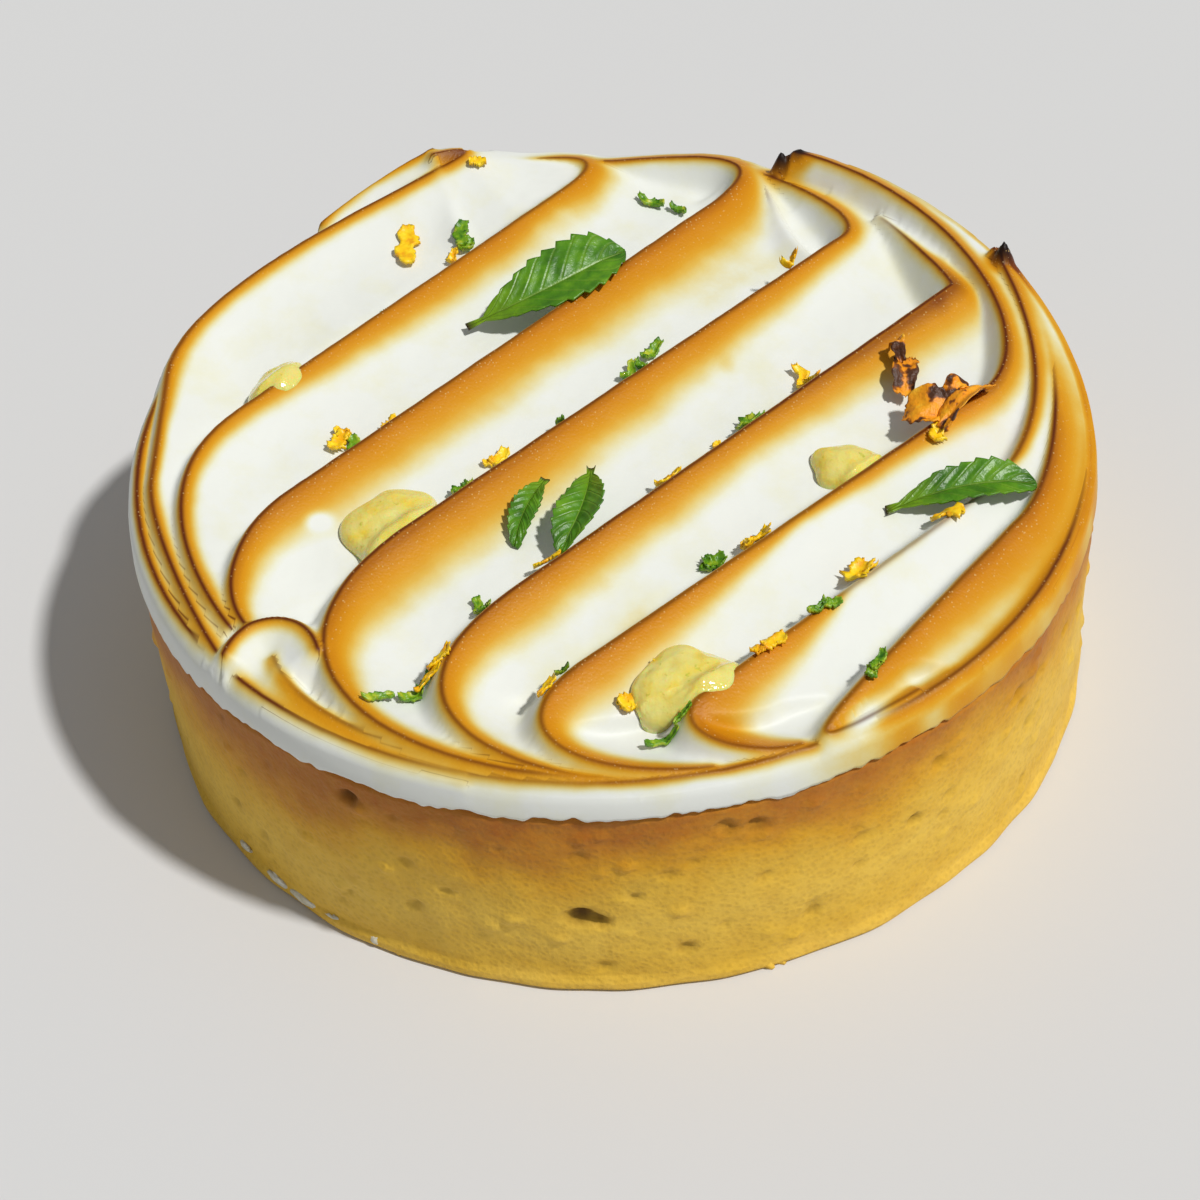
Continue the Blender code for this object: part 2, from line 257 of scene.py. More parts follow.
def make_case():
    """The wall's outline is spun round, then pushed in and out where the pastry is uneven."""
    shape = bmesh.new()
    foot = CASE_RADIUS - FOOT_CLEAR
    outline = [(0.0, 0.0), (MIDDLE_RADIUS, 0.0), (foot - BASE_ROUND, 0.0)]
    outline += [(foot, BASE_ROUND + FOOT_ROW * step) for step in range(4)]
    wall_low = FOOT_HEIGHT + WALL_START
    wall_high = CASE_HEIGHT - WALL_END
    outline += [
        (WALL_RADIUS, wall_low + (wall_high - wall_low) * row / WALL_ROWS) for row in range(WALL_ROWS + 1)
    ]
    outline += [(WALL_RADIUS - inward, CASE_HEIGHT - down) for inward, down in RIM_ROUND]
    outline += [(MIDDLE_RADIUS, CASE_HEIGHT), (0.0, CASE_HEIGHT)]
    points = [shape.verts.new((x, 0.0, z)) for x, z in outline]
    for first, second in zip(points, points[1:]):
        shape.edges.new((first, second))
    bmesh.ops.spin(
        shape, geom=shape.verts[:] + shape.edges[:], cent=(0, 0, 0), axis=(0, 0, 1),
        angle=math.tau, steps=WALL_STEPS, use_merge=True,
    )
    bmesh.ops.remove_doubles(shape, verts=shape.verts, dist=1e-4)
    bmesh.ops.recalc_face_normals(shape, faces=shape.faces)
    chance = random.Random(4)
    hollows = [(math.radians(turn), z, wide, deep) for turn, z, wide, deep in PITS]
    for _ in range(BLISTERS):
        turn = chance.uniform(0, math.tau)
        wide = chance.uniform(*BLISTER_SIZES)
        z = chance.uniform(*BLISTER_HEIGHTS)
        hollows.append((turn, z, wide, wide * chance.choice(BLISTER_DEPTHS)))
    # Painted shade in the pits: how dark each sunk pit is painted, set by its depth; raised blisters get
    # none.
    dark = shape.verts.layers.float.new("hollow")
    for point in shape.verts:
        radius = math.hypot(point.co.x, point.co.y)
        if radius < CASE_RADIUS - 1.0:
            continue
        turn = math.atan2(point.co.y, point.co.x)
        place = Vector((point.co.x, point.co.y, point.co.z))
        push = 0.16 * noise.noise(place / 11.0) + 0.13 * noise.noise(place / 3.4 + Vector((5, 0, 0)))
        push += 0.05 * noise.noise(place / 1.1)
        if point.co.z < FOOT_HEIGHT + 0.2:
            push = 0.3 * noise.noise(place / 5.0) - 0.12
        for pit_turn, z, wide, deep in hollows:
            away = (turn - pit_turn + math.pi) % math.tau - math.pi
            if abs(away) * WALL_RADIUS > 2.2 * wide or abs(point.co.z - z) > 2.2 * wide:
                continue
            reach = math.hypot(away * WALL_RADIUS, (point.co.z - z) * 1.2) / wide
            depth = math.exp(-(reach**3))
            push -= deep * depth
            if deep > 0:
                point[dark] = max(point[dark], min(1.0, deep * 1.1) * depth)
        scale = min(radius + push, CASE_RADIUS - 0.02) / radius
        point.co.x *= scale
        point.co.y *= scale
    return add_piece("pastry_case_baked", shape, pastry_finish(), ["pastry_case"])


case = make_case()


# ---- Meringue -----------------------------------------------------------------------------------
# Soft meringue is heaped on the filled case and swept with a palette knife. Every sweep leaves a
# ridge with a steep back and a long hollow front; a torch then browns the crests.

CAP_RADIUS = 39.5
RIM_RADIUS = 38.7
RIM_LEVEL = 23.1
RIM_TILT = 0.8            # how much the rim rises and falls, and where it is highest
RIM_TILT_TURN = 115.0
FLOOR_LEVEL = 21.3        # the lowest that a hollow goes
CROWN_BLEND = 0.2         # how softly one ridge runs into another
CREST_ROUND = 0.3
FRONT_DEPTH = 3.2
FRONT_LENGTH = 4.6
FRONT_REACH = 9.0
FRONT_FADE = 0.1
BACK_SLOPE = 1.6
STROKE_TURN = math.radians(45.0)
LINE_STEPS = 28
ROWS_ALONG = 250
ROWS_ACROSS = 340
SOFTEN_PASSES = 3
# The band from the rim down over the case: (radius, share of the rim's height, how ragged).
WALL_BAND = (
    (39.68, 0.72, 0.0), (39.76, 0.42, 0.0), (39.84, 0.12, 0.35), (39.82, 0.0, 0.55), (39.2, -0.1, 0.2),
)
RAGGED = 0.8

# Each sweep starts on the rim, turns into a straight stroke across the tart and turns out to the rim
# again. near and far are (degrees round the rim, distance from the centre, height); turn_in and
# turn_out are (along, across, height) in the direction of the stroke; pulls are how far the line is
# drawn on at the rim, at both turns and at the far rim. toast is how wide the browned band is, and
# burn how dark its edge is, at the near rim, its bend, the turn in, the middle, the turn out, the far
# bend and the far rim.
STROKES = (
    dict(near=(218.5, 38.6, 23.4), turn_in=(-28.0, -24.8, 23.9), turn_out=(-18.5, -33.7, 24.4),
         far=(111, 38.0, 28.4), pulls=(2, 6, 15, 14),
         toast=(0.8, 0.9, 0.6, 0.7, 1.0, 0.9, 0.9),
         burn=(0.9, 0.9, 0.6, 0.5, 0.5, 0.6, 0.7)),
    dict(near=(214.5, 36.4, 23.9), turn_in=(-18.0, -25.0, 24.6), turn_out=(21.0, -24.4, 25.4),
         far=(106, 38.1, 25.2), pulls=(1, 13, 9, 9),
         toast=(0.8, 0.9, 1.2, 2.5, 2.8, 1.6, 0.9),
         burn=(0.9, 0.9, 0.5, 0.4, 0.4, 0.5, 0.7)),
    dict(near=(217, 35.5, 24.0), turn_in=(-24.0, -13.2, 25.3), turn_out=(26.0, -11.8, 25.6),
         far=(87, 37.6, 24.7), pulls=(5, 5, 14, 8),
         toast=(0.8, 1.8, 3.2, 3.4, 4.2, 1.6, 0.9),
         burn=(0.9, 0.8, 0.7, 0.5, 0.5, 0.9, 0.5)),
    dict(near=(270, 38.3, 22.3), turn_in=(-21.0, -2.7, 25.3), turn_out=(30.5, 0.6, 25.5),
         far=(65, 37.5, 24.3), pulls=(17, 19, 5, 1),
         toast=(1.0, 1.2, 4.2, 3.0, 1.4, 1.6, 1.4),
         burn=(0.4, 0.6, 0.8, 0.6, 0.6, 0.7, 0.6)),
    dict(near=(266, 38.3, 22.3), turn_in=(-20.5, 8.5, 24.9), turn_out=(30.0, 12.8, 25.9),
         far=(44, 35.7, 24.8), pulls=(5, 17, 1, 1),
         toast=(1.0, 1.0, 3.0, 2.0, 3.8, 0.6, 0.3),
         burn=(0.4, 0.5, 0.75, 0.7, 1.2, 0.8, 0.0)),
    dict(near=(278, 38.3, 22.3), turn_in=(-23.0, 17.7, 24.7), turn_out=(21.0, 22.7, 25.0),
         far=(60, 38.6, 26.8), pulls=(8, 10, 8, 16),
         toast=(0.9, 1.6, 3.0, 0.6, 1.8, 1.2, 1.2),
         burn=(0.4, 0.4, 0.5, 0.4, 1.0, 1.0, 1.0)),
    dict(near=(288, 38.3, 22.3), turn_in=(-19.5, 26.4, 24.2), turn_out=(11.0, 29.2, 23.8),
         far=(26, 38.6, 26.0), pulls=(5, 4, 14, 1),
         toast=(1.0, 4.5, 3.4, 0.4, 0.3, 1.3, 1.3),
         burn=(0.4, 0.4, 0.4, 0.2, 0.3, 0.9, 1.0)),
    dict(near=(303, 38.2, 22.4), turn_in=(-10.5, 34.3, 23.7), turn_out=(11.0, 33.2, 23.8),
         far=(20, 38.4, 24.2), pulls=(13, 5, 6, 9),
         toast=(1.2, 1.1, 2.0, 3.0, 4.2, 2.5, 1.6),
         burn=(0.4, 0.4, 0.4, 0.4, 0.5, 0.9, 1.0)),
)
# Short folds between the ridges: four points (x, y), a height, a toasted width and a burn at each end.
FOLDS = (
    dict(points=((-30.2, -23.9), (-28.8, -19.2), (-24.0, -19.8), (-23.0, -24.6)), heights=(24.2, 24.6),
         toast=(0.7, 0.7), burn=(1.0, 1.0)),
    dict(points=((-26.5, -23.8), (-25.0, -29.0), (-20.0, -32.5), (-12.0, -36.0)), heights=(23.4, 22.6),
         toast=(0.9, 1.4), burn=(0.1, 0.4)),
    dict(points=((15.4, 34.6), (17.2, 30.0), (16.4, 26.0), (19.5, 21.0)), heights=(24.6, 23.6),
         toast=(0.1, 0.1), burn=(0.0, 0.0)),
    dict(points=((-24.3, 31.1), (-22.6, 33.4), (-18.2, 36.0), (-13.6, 37.0)), heights=(24.8, 28.0),
         toast=(0.7, 0.8), burn=(0.3, 0.5)),
)
END_SLOPE = 0.9           # how steeply a ridge drops away past its end
END_FADE = 0.6            # how soon its toast ends there
PALE_TOAST = 0.6          # a band narrower than this is paler too
REACH_END = 1.6           # reach of untouched white
BACK_START = 0.15         # reach at the crest on the steep side, and its rise for each mm
BACK_RISE = 2.4
BLEND_BROWN = 0.22        # how softly the browning of one ridge runs into another's
LINE_HALF = 0.24          # half width of the dark line on a crest
NO_CREST = 20.0           # distance given to the floor, which has no crest
TIP_BLEND = 0.12
TIP_CHAR = 0.9            # how far a tip is charred, and browned
TIP_TOAST = 2.2
WALL_TOAST_TURN = -15.0   # the band over the case is tanned on this side
WALL_TOAST_SPREAD = 0.5
WALL_TOAST_EDGE = 5.0
SURFACE_VALUES = ("reach", "edge", "near", "burn", "char", "streak")
# Colours of the toast: share of the reach, from the crest to untouched white.
TOAST_STOPS = (
    (0.00, colour(150, 78, 2)),
    (0.06, colour(174, 100, 2)),
    (0.16, colour(200, 127, 4)),
    (0.34, colour(209, 143, 16)),
    (0.44, colour(213, 156, 36)),
    (0.54, colour(217, 176, 74)),
    (0.64, colour(220, 197, 120)),
    (0.75, colour(223, 213, 164)),
    (0.87, colour(226, 226, 204)),
    (1.00, colour(228, 230, 224)),
)
# The rim's own toast: (degrees round, width, burn).
RIM_TOAST = (
    (0, 2.2, 1.0), (35, 1.6, 1.0), (55, 1.2, 0.9), (70, 0.7, 0.5), (150, 0.7, 0.4), (185, 0.9, 0.9),
    (228, 0.8, 0.9), (250, 0.6, 0.4), (292, 0.9, 0.4), (315, 1.6, 0.6), (340, 2.0, 0.9), (360, 1.9, 1.0),
)
# Tips pulled up where the knife left the rim: (x, y, height, sharpness).
TIPS = (
    (18.2, 33.6, 27.0, 2.3),
    (19.9, 33.6, 27.2, 2.3),
    (35.4, 15.8, 27.6, 2.4),
)
# Faint brown the torch left in the hollows, and spots it missed: (x, y, half length, half width,
# degrees, strength).
STREAKS = (
    (0.5, -22.5, 6.5, 1.3, 42, 0.30),
    (13.0, 19.6, 5.5, 1.4, 38, 0.32),
    (-23.4, -9.4, 0.9, 0.7, 30, -1.2),
    (16.6, -34.4, 2.2, 0.8, 38, -1.3),
    (27.0, 17.5, 8.0, 0.8, 105, 0.18),
    (10.6, 6.2, 0.7, 0.9, 0, 0.3),
    (-1.8, 26.4, 0.5, 0.8, 0, 0.35),
)


def bezier(start, pull_out, pull_in, end, steps=LINE_STEPS):
    u = np.linspace(0.0, 1.0, steps)[:, None]
    corners = [np.asarray(p, float) for p in (start, pull_out, pull_in, end)]
    weights = ((1 - u) ** 3, 3 * (1 - u) ** 2 * u, 3 * (1 - u) * u * u, u**3)
    return sum(w * p for w, p in zip(weights, corners))


def on_rim(degrees, distance):
    """The point at this turn round the rim, and the clockwise direction along it."""
    turn = math.radians(degrees)
    out = np.array([math.cos(turn), math.sin(turn)])
    return distance * out, np.array([out[1], -out[0]])


def stroke_line(stroke):
    """The crest of one ridge, as points (x, y, height, toast, burn)."""
    along = np.array([math.cos(STROKE_TURN), math.sin(STROKE_TURN)])
    across = np.array([along[1], -along[0]])
    near, near_way = on_rim(*stroke["near"][:2])
    far, far_way = on_rim(*stroke["far"][:2])
    first = stroke["turn_in"][0] * along + stroke["turn_in"][1] * across
    last = stroke["turn_out"][0] * along + stroke["turn_out"][1] * across
    way = (last - first) / np.linalg.norm(last - first)
    near_pull, in_pull, out_pull, far_pull = stroke["pulls"]
    parts = (
        bezier(near, near + near_pull * near_way, first - in_pull * way, first),
        np.linspace(first, last, LINE_STEPS),
        bezier(last, last + out_pull * way, far + far_pull * far_way, far),
    )
    flat = np.concatenate([parts[0], parts[1][1:], parts[2][1:]])
    steps = np.arange(len(flat))
    corners = np.arange(4) * (LINE_STEPS - 1)
    levels = [stroke[key][2] for key in ("near", "turn_in", "turn_out", "far")]
    heights = np.interp(steps, corners, levels)
    stations = np.arange(7) * (LINE_STEPS - 1) / 2
    toast = np.interp(steps, stations, stroke["toast"])
    burn = np.interp(steps, stations, stroke["burn"])
    return np.column_stack([flat, heights, toast, burn])


def fold_line(fold):
    flat = bezier(*fold["points"])
    spread = [np.linspace(*fold[key], len(flat)) for key in ("heights", "toast", "burn")]
    return np.column_stack([flat, *spread])


def rim_line():
    """The rim of the meringue, clockwise all the way round."""
    turns = np.radians(np.arange(360.0, -0.1, -3.0))
    tilt = np.cos(turns - math.radians(RIM_TILT_TURN))
    rounds = [RIM_RADIUS * np.cos(turns), RIM_RADIUS * np.sin(turns), RIM_LEVEL + RIM_TILT * tilt]
    around, toast, burn = np.array(RIM_TOAST, float).T
    shades = [np.interp(np.degrees(turns), around, values) for values in (toast, burn)]
    return np.column_stack([*rounds, *shades])


def nearest_on(line, points):
    """Signed distance from the line, plus on its right; how far the point lies past the line's ends;
    and height, toast and burn at the nearest point."""
    start = line[:-1]
    span = line[1:] - start
    length2 = (span[:, :2] ** 2).sum(1) + 1e-12
    distance = np.empty(len(points))
    beyond = np.empty(len(points))
    carried = np.empty((len(points), 3))
    for first in range(0, len(points), 8192):
        block = points[first:first + 8192]
        offset = block[:, None, :] - start[None, :, :2]
        share = (offset * span[None, :, :2]).sum(2) / length2
        held = np.clip(share, 0.0, 1.0)
        away = offset - held[:, :, None] * span[None, :, :2]
        squared = (away**2).sum(2)
        best = squared.argmin(1)
        rows = np.arange(len(block))
        side = span[best, 1] * away[rows, best, 0] - span[best, 0] * away[rows, best, 1]
        over = np.abs(share[rows, best] - held[rows, best]) * np.sqrt(length2[best])
        at_end = (best == 0) & (share[rows, best] < 0) | (best == len(span) - 1) & (share[rows, best] > 1)
        distance[first:first + 8192] = np.sqrt(squared[rows, best]) * np.where(side < 0, -1, 1)
        beyond[first:first + 8192] = np.where(at_end, over, 0.0)
        carried[first:first + 8192] = start[best, 2:] + held[rows, best][:, None] * span[best, 2:]
    return distance, beyond, carried


def fall(distance):
    """How far the surface lies below a crest: a long hollow on its right, a short drop on its left."""
    front = np.maximum(distance, 0.0)
    hollow = FRONT_DEPTH * (1.0 - np.exp(-((front / FRONT_LENGTH) ** 1.3)))
    hollow = hollow + FRONT_FADE * np.maximum(front - FRONT_REACH, 0.0) ** 2
    back = np.maximum(-distance, 0.0)
    drop = BACK_SLOPE * (np.sqrt(back**2 + CREST_ROUND**2) - CREST_ROUND)
    return hollow + drop


LINES = [stroke_line(s) for s in STROKES] + [fold_line(f) for f in FOLDS] + [rim_line()]


def swept_surface(points):
    """Height at points (x, y), and for the browning: how far into the toast each point lies (0 at a
    crest, 1 at the toast's end), distance from the ruling crest, how surely it rules, burn and char."""
    heights = [np.full(len(points), FLOOR_LEVEL)]
    edges = [np.full(len(points), NO_CREST)]
    reaches = [np.full(len(points), REACH_END)]
    burns = [np.zeros(len(points))]
    for line in LINES:
        distance, beyond, carried = nearest_on(line, points)
        heights.append(carried[:, 0] - fall(distance) - END_SLOPE * beyond)
        toast = np.maximum(carried[:, 1], 0.05)
        pale = REACH_END * np.maximum(1.0 - toast / PALE_TOAST, 0.0)
        front = np.maximum(distance, 0.0) / toast + pale
        back = BACK_START + BACK_RISE * np.maximum(-distance, 0.0) + pale
        reach = np.where(distance > 0, front, np.minimum(back, REACH_END)) + beyond * END_FADE
        edges.append(distance)
        reaches.append(np.minimum(reach, REACH_END))
        burns.append(carried[:, 2] * np.exp(-beyond))
    heights, edges, reaches, burns = (np.array(rows) for rows in (heights, edges, reaches, burns))
    level = np.logaddexp.reduce(heights / CROWN_BLEND, axis=0) * CROWN_BLEND
    weights = np.exp((heights - heights.max(0)) / BLEND_BROWN)
    weights /= weights.sum(0)
    reach = (weights * reaches).sum(0)
    ruling = heights.argmax(0)
    rows = np.arange(len(points))
    edge = edges[ruling, rows]
    near = np.clip(1.9 - np.abs(edge) / 0.5, 0.0, 1.0)
    near *= np.clip(2.0 * weights[ruling, rows] - 0.6, 0.0, 1.0)
    burn = (weights * burns).sum(0)
    char = np.zeros(len(points))
    for x, y, top, sharpness in TIPS:
        away = np.hypot(points[:, 0] - x, points[:, 1] - y)
        spike = top - sharpness * np.sqrt(away**2 + 0.02)
        level = np.logaddexp(level / TIP_BLEND, spike / TIP_BLEND) * TIP_BLEND
        char = np.maximum(char, np.exp(-((away / TIP_CHAR) ** 4)))
        reach = np.minimum(reach, 0.1 + (away / 2.0) ** 2)
        burn = np.maximum(burn, np.exp(-((away / TIP_TOAST) ** 2)))
    return level, reach, edge, near, burn, char


def streak_mask(points):
    """Extra toast, or less of it, in soft ovals, and the tan of the rim's outer edge on one side."""
    mask = np.zeros(len(points))
    for x, y, long_half, short_half, degrees, strength in STREAKS:
        turn = math.radians(degrees)
        u = (points[:, 0] - x) * math.cos(turn) + (points[:, 1] - y) * math.sin(turn)
        v = (points[:, 1] - y) * math.cos(turn) - (points[:, 0] - x) * math.sin(turn)
        mask += strength * np.exp(-((u / long_half) ** 2) - (v / short_half) ** 2)
    facing = np.cos(np.arctan2(points[:, 1], points[:, 0]) - math.radians(WALL_TOAST_TURN))
    outer = np.clip((np.hypot(points[:, 0], points[:, 1]) - RIM_RADIUS) * 2.5, 0.0, 1.0)
    return mask + 0.8 * outer * np.clip((facing - WALL_TOAST_SPREAD) * WALL_TOAST_EDGE, 0.0, 1.0)


def softened(values):
    """Every value of the meringue's grid, evened out with those beside it."""
    rows = np.pad(values.reshape(-1, ROWS_ALONG + 1), 1, mode="edge")
    across = (rows[:-2] + 2 * rows[1:-1] + rows[2:]) / 4
    return ((across[:, :-2] + 2 * across[:, 1:-1] + across[:, 2:]) / 4).ravel()


def meringue_finish():
    made, tree, shader = new_finish("toasted_meringue")
    place = place_on_piece(tree)
    values = {}
    for name in SURFACE_VALUES:
        taken = tree.nodes.new("ShaderNodeAttribute")
        taken.attribute_name = name
        values[name] = taken.outputs["Fac"]
    wander = mottle(tree, place, 5.0, detail=2.0)
    fleck = mottle(tree, place, 0.5, detail=3.0, roughness=0.7)
    shift = maths(tree, "MULTIPLY", maths(tree, "SUBTRACT", wander, 0.5), 0.42)
    shift = maths(tree, "ADD", shift, maths(tree, "MULTIPLY", maths(tree, "SUBTRACT", fleck, 0.5), 0.10))
    reach = maths(tree, "ADD", values["reach"], maths(tree, "MULTIPLY", shift, values["reach"]))
    reach = maths(tree, "SUBTRACT", reach, values["streak"])
    reach = maths(tree, "DIVIDE", reach, REACH_END, clamp=True)
    body = ramp(tree, TOAST_STOPS, reach)
    line = maths(tree, "DIVIDE", maths(tree, "SUBTRACT", values["edge"], 0.03), LINE_HALF)
    line = maths(tree, "POWER", 2.718, maths(tree, "MULTIPLY", maths(tree, "MULTIPLY", line, line), -1.0))
    line = maths(tree, "MULTIPLY", line, values["near"])
    darkness = maths(tree, "ADD", maths(tree, "MULTIPLY", values["burn"], 0.8), 0.35, clamp=True)
    darkness = maths(tree, "MULTIPLY", darkness, maths(tree, "MULTIPLY", values["burn"], 5.0, clamp=True))
    singed = maths(tree, "MULTIPLY", line, darkness)
    fierce = maths(tree, "SUBTRACT", values["burn"], 0.6, clamp=True)
    fierce = maths(tree, "MULTIPLY", fierce, 2.5, clamp=True)
    spread = maths(tree, "SUBTRACT", 1.0, maths(tree, "MULTIPLY", reach, 3.4), clamp=True)
    scorched = maths(tree, "MULTIPLY", maths(tree, "MULTIPLY", spread, fierce), 0.75)
    singed = maths(tree, "MAXIMUM", singed, scorched)
    body = blend_colours(tree, singed, body, colour(96, 38, 5))
    body = blend_colours(tree, values["char"], body, colour(24, 16, 14))
    browned = maths(tree, "SUBTRACT", 1.0, maths(tree, "MULTIPLY", reach, 1.6), clamp=True)
    # Sugar beads on the browned skin: real beads, raised in the bump below, and also painted a paler gold
    # as a painted glint where they catch the light.
    sugar = tree.nodes.new("ShaderNodeTexVoronoi")
    sugar.inputs["Scale"].default_value = 1.0 / (0.42 * MM)
    tree.links.new(place, sugar.inputs["Vector"])
    bead_and_glint = maths(tree, "SUBTRACT", 0.23, sugar.outputs["Distance"], clamp=True)
    bead_and_glint = maths(tree, "MULTIPLY", bead_and_glint, 6.0)
    bead_and_glint = maths(tree, "MULTIPLY", bead_and_glint, maths(tree, "POWER", browned, 2.0), clamp=True)
    body = blend_colours(tree, maths(tree, "MULTIPLY", bead_and_glint, 0.75), body, colour(250, 214, 140))
    tree.links.new(body, shader.inputs["Base Color"])
    grain = crumb(tree, place, 0.28, 0.045)
    skin = maths(tree, "MULTIPLY", grain.outputs["Height"], browned)
    beads = maths(tree, "MULTIPLY", bead_and_glint, 0.05 * MM)
    soft = maths(tree, "MULTIPLY", mottle(tree, place, 1.8, detail=3.0), 0.03 * MM)
    height = maths(tree, "ADD", maths(tree, "ADD", skin, soft), beads)
    tree.links.new(bump(tree, height), shader.inputs["Normal"])
    shader.inputs["Roughness"].default_value = 0.45
    shader.inputs["Specular IOR Level"].default_value = 0.2
    return made


def make_meringue():
    """A grid over the disc is lifted to the swept ridges and drawn down over the case's rim."""
    shape = bmesh.new()
    bmesh.ops.create_grid(shape, x_segments=ROWS_ALONG, y_segments=ROWS_ACROSS, size=1.0)
    square = np.array([point.co[:2] for point in shape.verts])
    disc = square * np.sqrt(1.0 - square[:, ::-1] ** 2 / 2.0) * CAP_RADIUS
    cos, sin = math.cos(STROKE_TURN), math.sin(STROKE_TURN)
    flat = np.column_stack([disc[:, 0] * cos - disc[:, 1] * sin, disc[:, 0] * sin + disc[:, 1] * cos])
    level, reach, edge, near, burn, char = swept_surface(flat)
    for _ in range(SOFTEN_PASSES):
        reach = softened(reach)
        level = np.where(near + char > 0.0, level, softened(level))
    columns = np.column_stack([reach, edge, near, burn, char, streak_mask(flat)])
    layers = {name: shape.verts.layers.float.new(name) for name in SURFACE_VALUES}
    for point, (x, y), z, row in zip(shape.verts, flat, level, columns):
        place = Vector((x, y, 0.0))
        point.co = (x, y, z + 0.06 * noise.noise(place / 3.0) + 0.02 * noise.noise(place / 0.9))
        for layer, value in zip(layers.values(), row):
            point[layer] = value
    rim_top = shape.verts.layers.float.new("rim_top")
    loop = [e for e in shape.edges if e.is_boundary]
    for point in {end for e in loop for end in e.verts}:
        point[rim_top] = point.co.z
    for radius, share, ragged in WALL_BAND:
        wall = bmesh.ops.extrude_edge_only(shape, edges=loop)["geom"]
        loop = [g for g in wall if isinstance(g, bmesh.types.BMEdge)]
        for point in (g for g in wall if isinstance(g, bmesh.types.BMVert)):
            turn = math.atan2(point.co.y, point.co.x)
            way = Vector((math.cos(turn), math.sin(turn), 0.0))
            torn = RAGGED * noise.noise(way * 9 + Vector((0, 0, 1)))
            torn += RAGGED * noise.noise(way * 44 + Vector((0, 0, 4)))
            facing = math.cos(turn - math.radians(WALL_TOAST_TURN))
            patch = noise.noise(way * 12 + Vector((0, 0, 7)))
            point.co.x = radius * math.cos(turn)
            point.co.y = radius * math.sin(turn)
            point.co.z = CASE_HEIGHT + (point[rim_top] - CASE_HEIGHT) * share + ragged * torn
            tanned = min(max((facing - WALL_TOAST_SPREAD) * WALL_TOAST_EDGE, 0.0), 1.0)
            point[layers["reach"]] = REACH_END - tanned * (0.85 + 0.35 * patch)
            for name in ("near", "burn", "streak"):
                point[layers[name]] = 0.0
    bmesh.ops.contextual_create(shape, geom=loop)
    shape.verts.layers.float.remove(rim_top)
    bmesh.ops.recalc_face_normals(shape, faces=shape.faces)
    return add_piece("meringue_toasted", shape, meringue_finish(), ["meringue"])


make_meringue()


# ---- Lemon gel ----------------------------------------------------------------------------------
# Lemon juice set with a little starch and squeezed on in drops. It slumps to a low glossy dome with
# a lobed outline, part clear, with pulp and grated peel in it.

GEL_HEIGHT = 1.7
GEL_MOST_SLOPE = 0.6
GEL_UNDERSIDE = 0.12
GEL_FOLLOW = 0.55         # how closely a drop follows the slope it lies on
GELS = (                # half length and half width, degrees turned, lobe phase, how lumpy the top is
    ("lemon_gel_1", 3.0, 2.4, 60, 0.5, 0.05),
    ("lemon_gel_2", 4.4, 3.6, 68, 2.4, 0.06),
    ("lemon_gel_3", 2.8, 2.2, 10, 1.2, 0.05),
    ("lemon_gel_4", 4.2, 3.0, 20, 3.6, 0.10),
    ("lemon_gel_5", 2.0, 1.3, 40, 0.2, 0.05),
)


def surface_under(shape):
    """Height of the meringue under every point of a shape, in order."""
    return swept_surface(np.array([point.co[:2] for point in shape.verts]))[0]


def gel_finish():
    made, tree, shader = new_finish("clear_lemon_gel")
    place = place_on_piece(tree)
    cloud = mottle(tree, place, 1.6, detail=3.0)
    body = ramp(tree, (
        (0.30, colour(230, 220, 134)),
        (0.52, colour(232, 216, 112)),
        (0.70, colour(236, 208, 72)),
    ), cloud)
    pulp = mottle(tree, place, 0.7, detail=2.0)
    flakes = maths(tree, "MULTIPLY", maths(tree, "SUBTRACT", pulp, 0.64, clamp=True), 9.0, clamp=True)
    body = blend_colours(tree, maths(tree, "MULTIPLY", flakes, 0.7), body, colour(176, 176, 20))
    tree.links.new(body, shader.inputs["Base Color"])
    tree.links.new(bump(tree, maths(tree, "MULTIPLY", pulp, 0.12 * MM)), shader.inputs["Normal"])
    shader.inputs["Roughness"].default_value = 0.12
    shader.inputs["IOR"].default_value = 1.4
    shader.inputs["Subsurface Weight"].default_value = 0.5
    shader.inputs["Subsurface Scale"].default_value = 1.5 * MM
    shader.inputs["Coat Weight"].default_value = 0.6
    shader.inputs["Coat Roughness"].default_value = 0.05
    return made


def make_gel(name, long_half, short_half, degrees, phase, lumpy, finish):
    low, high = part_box(name)
    centre = (low + high) / 2 / MM
    turn = Matrix.Rotation(math.radians(degrees), 3, "Z")
    shape = bmesh.new()
    bmesh.ops.create_icosphere(shape, subdivisions=5, radius=1.0)
    rises = []
    for point in shape.verts:
        around = math.atan2(point.co.y, point.co.x)
        lobes = 1.0 + 0.09 * math.sin(3 * around + phase) + 0.05 * math.sin(5 * around + 2 * phase)
        rise = max(point.co.z, 0.0) ** 0.85
        lump = lumpy * noise.noise(point.co * 3.2) * min(rise * 3.0, 1.0)
        rises.append(rise + lump - GEL_UNDERSIDE * (point.co.z < 0))
        flat = turn @ Vector((point.co.x * long_half * lobes, point.co.y * short_half * lobes, 0.0))
        point.co = (centre.x + flat.x, centre.y + flat.y, 0.0)
    levels = surface_under(shape)
    middle = float(np.median(levels))
    for point, level, rise in zip(shape.verts, levels, rises):
        slumped = middle + GEL_FOLLOW * min(level - middle, GEL_MOST_SLOPE) + GEL_HEIGHT * rise
        point.co.z = slumped if rise > 0 else min(slumped, level) - 0.1
    add_piece(name + "_drop", shape, finish, [name])


GEL_FINISH = gel_finish()
for gel in GELS:
    make_gel(*gel, GEL_FINISH)


# ---- Mint leaves --------------------------------------------------------------------------------
# Small fresh leaf tips: toothed blades folded along the midrib and quilted between side veins. Cut
# stem ends have gone brown. They are laid on last, standing on the ridges they cross.

LEAF_THICKNESS = 0.16
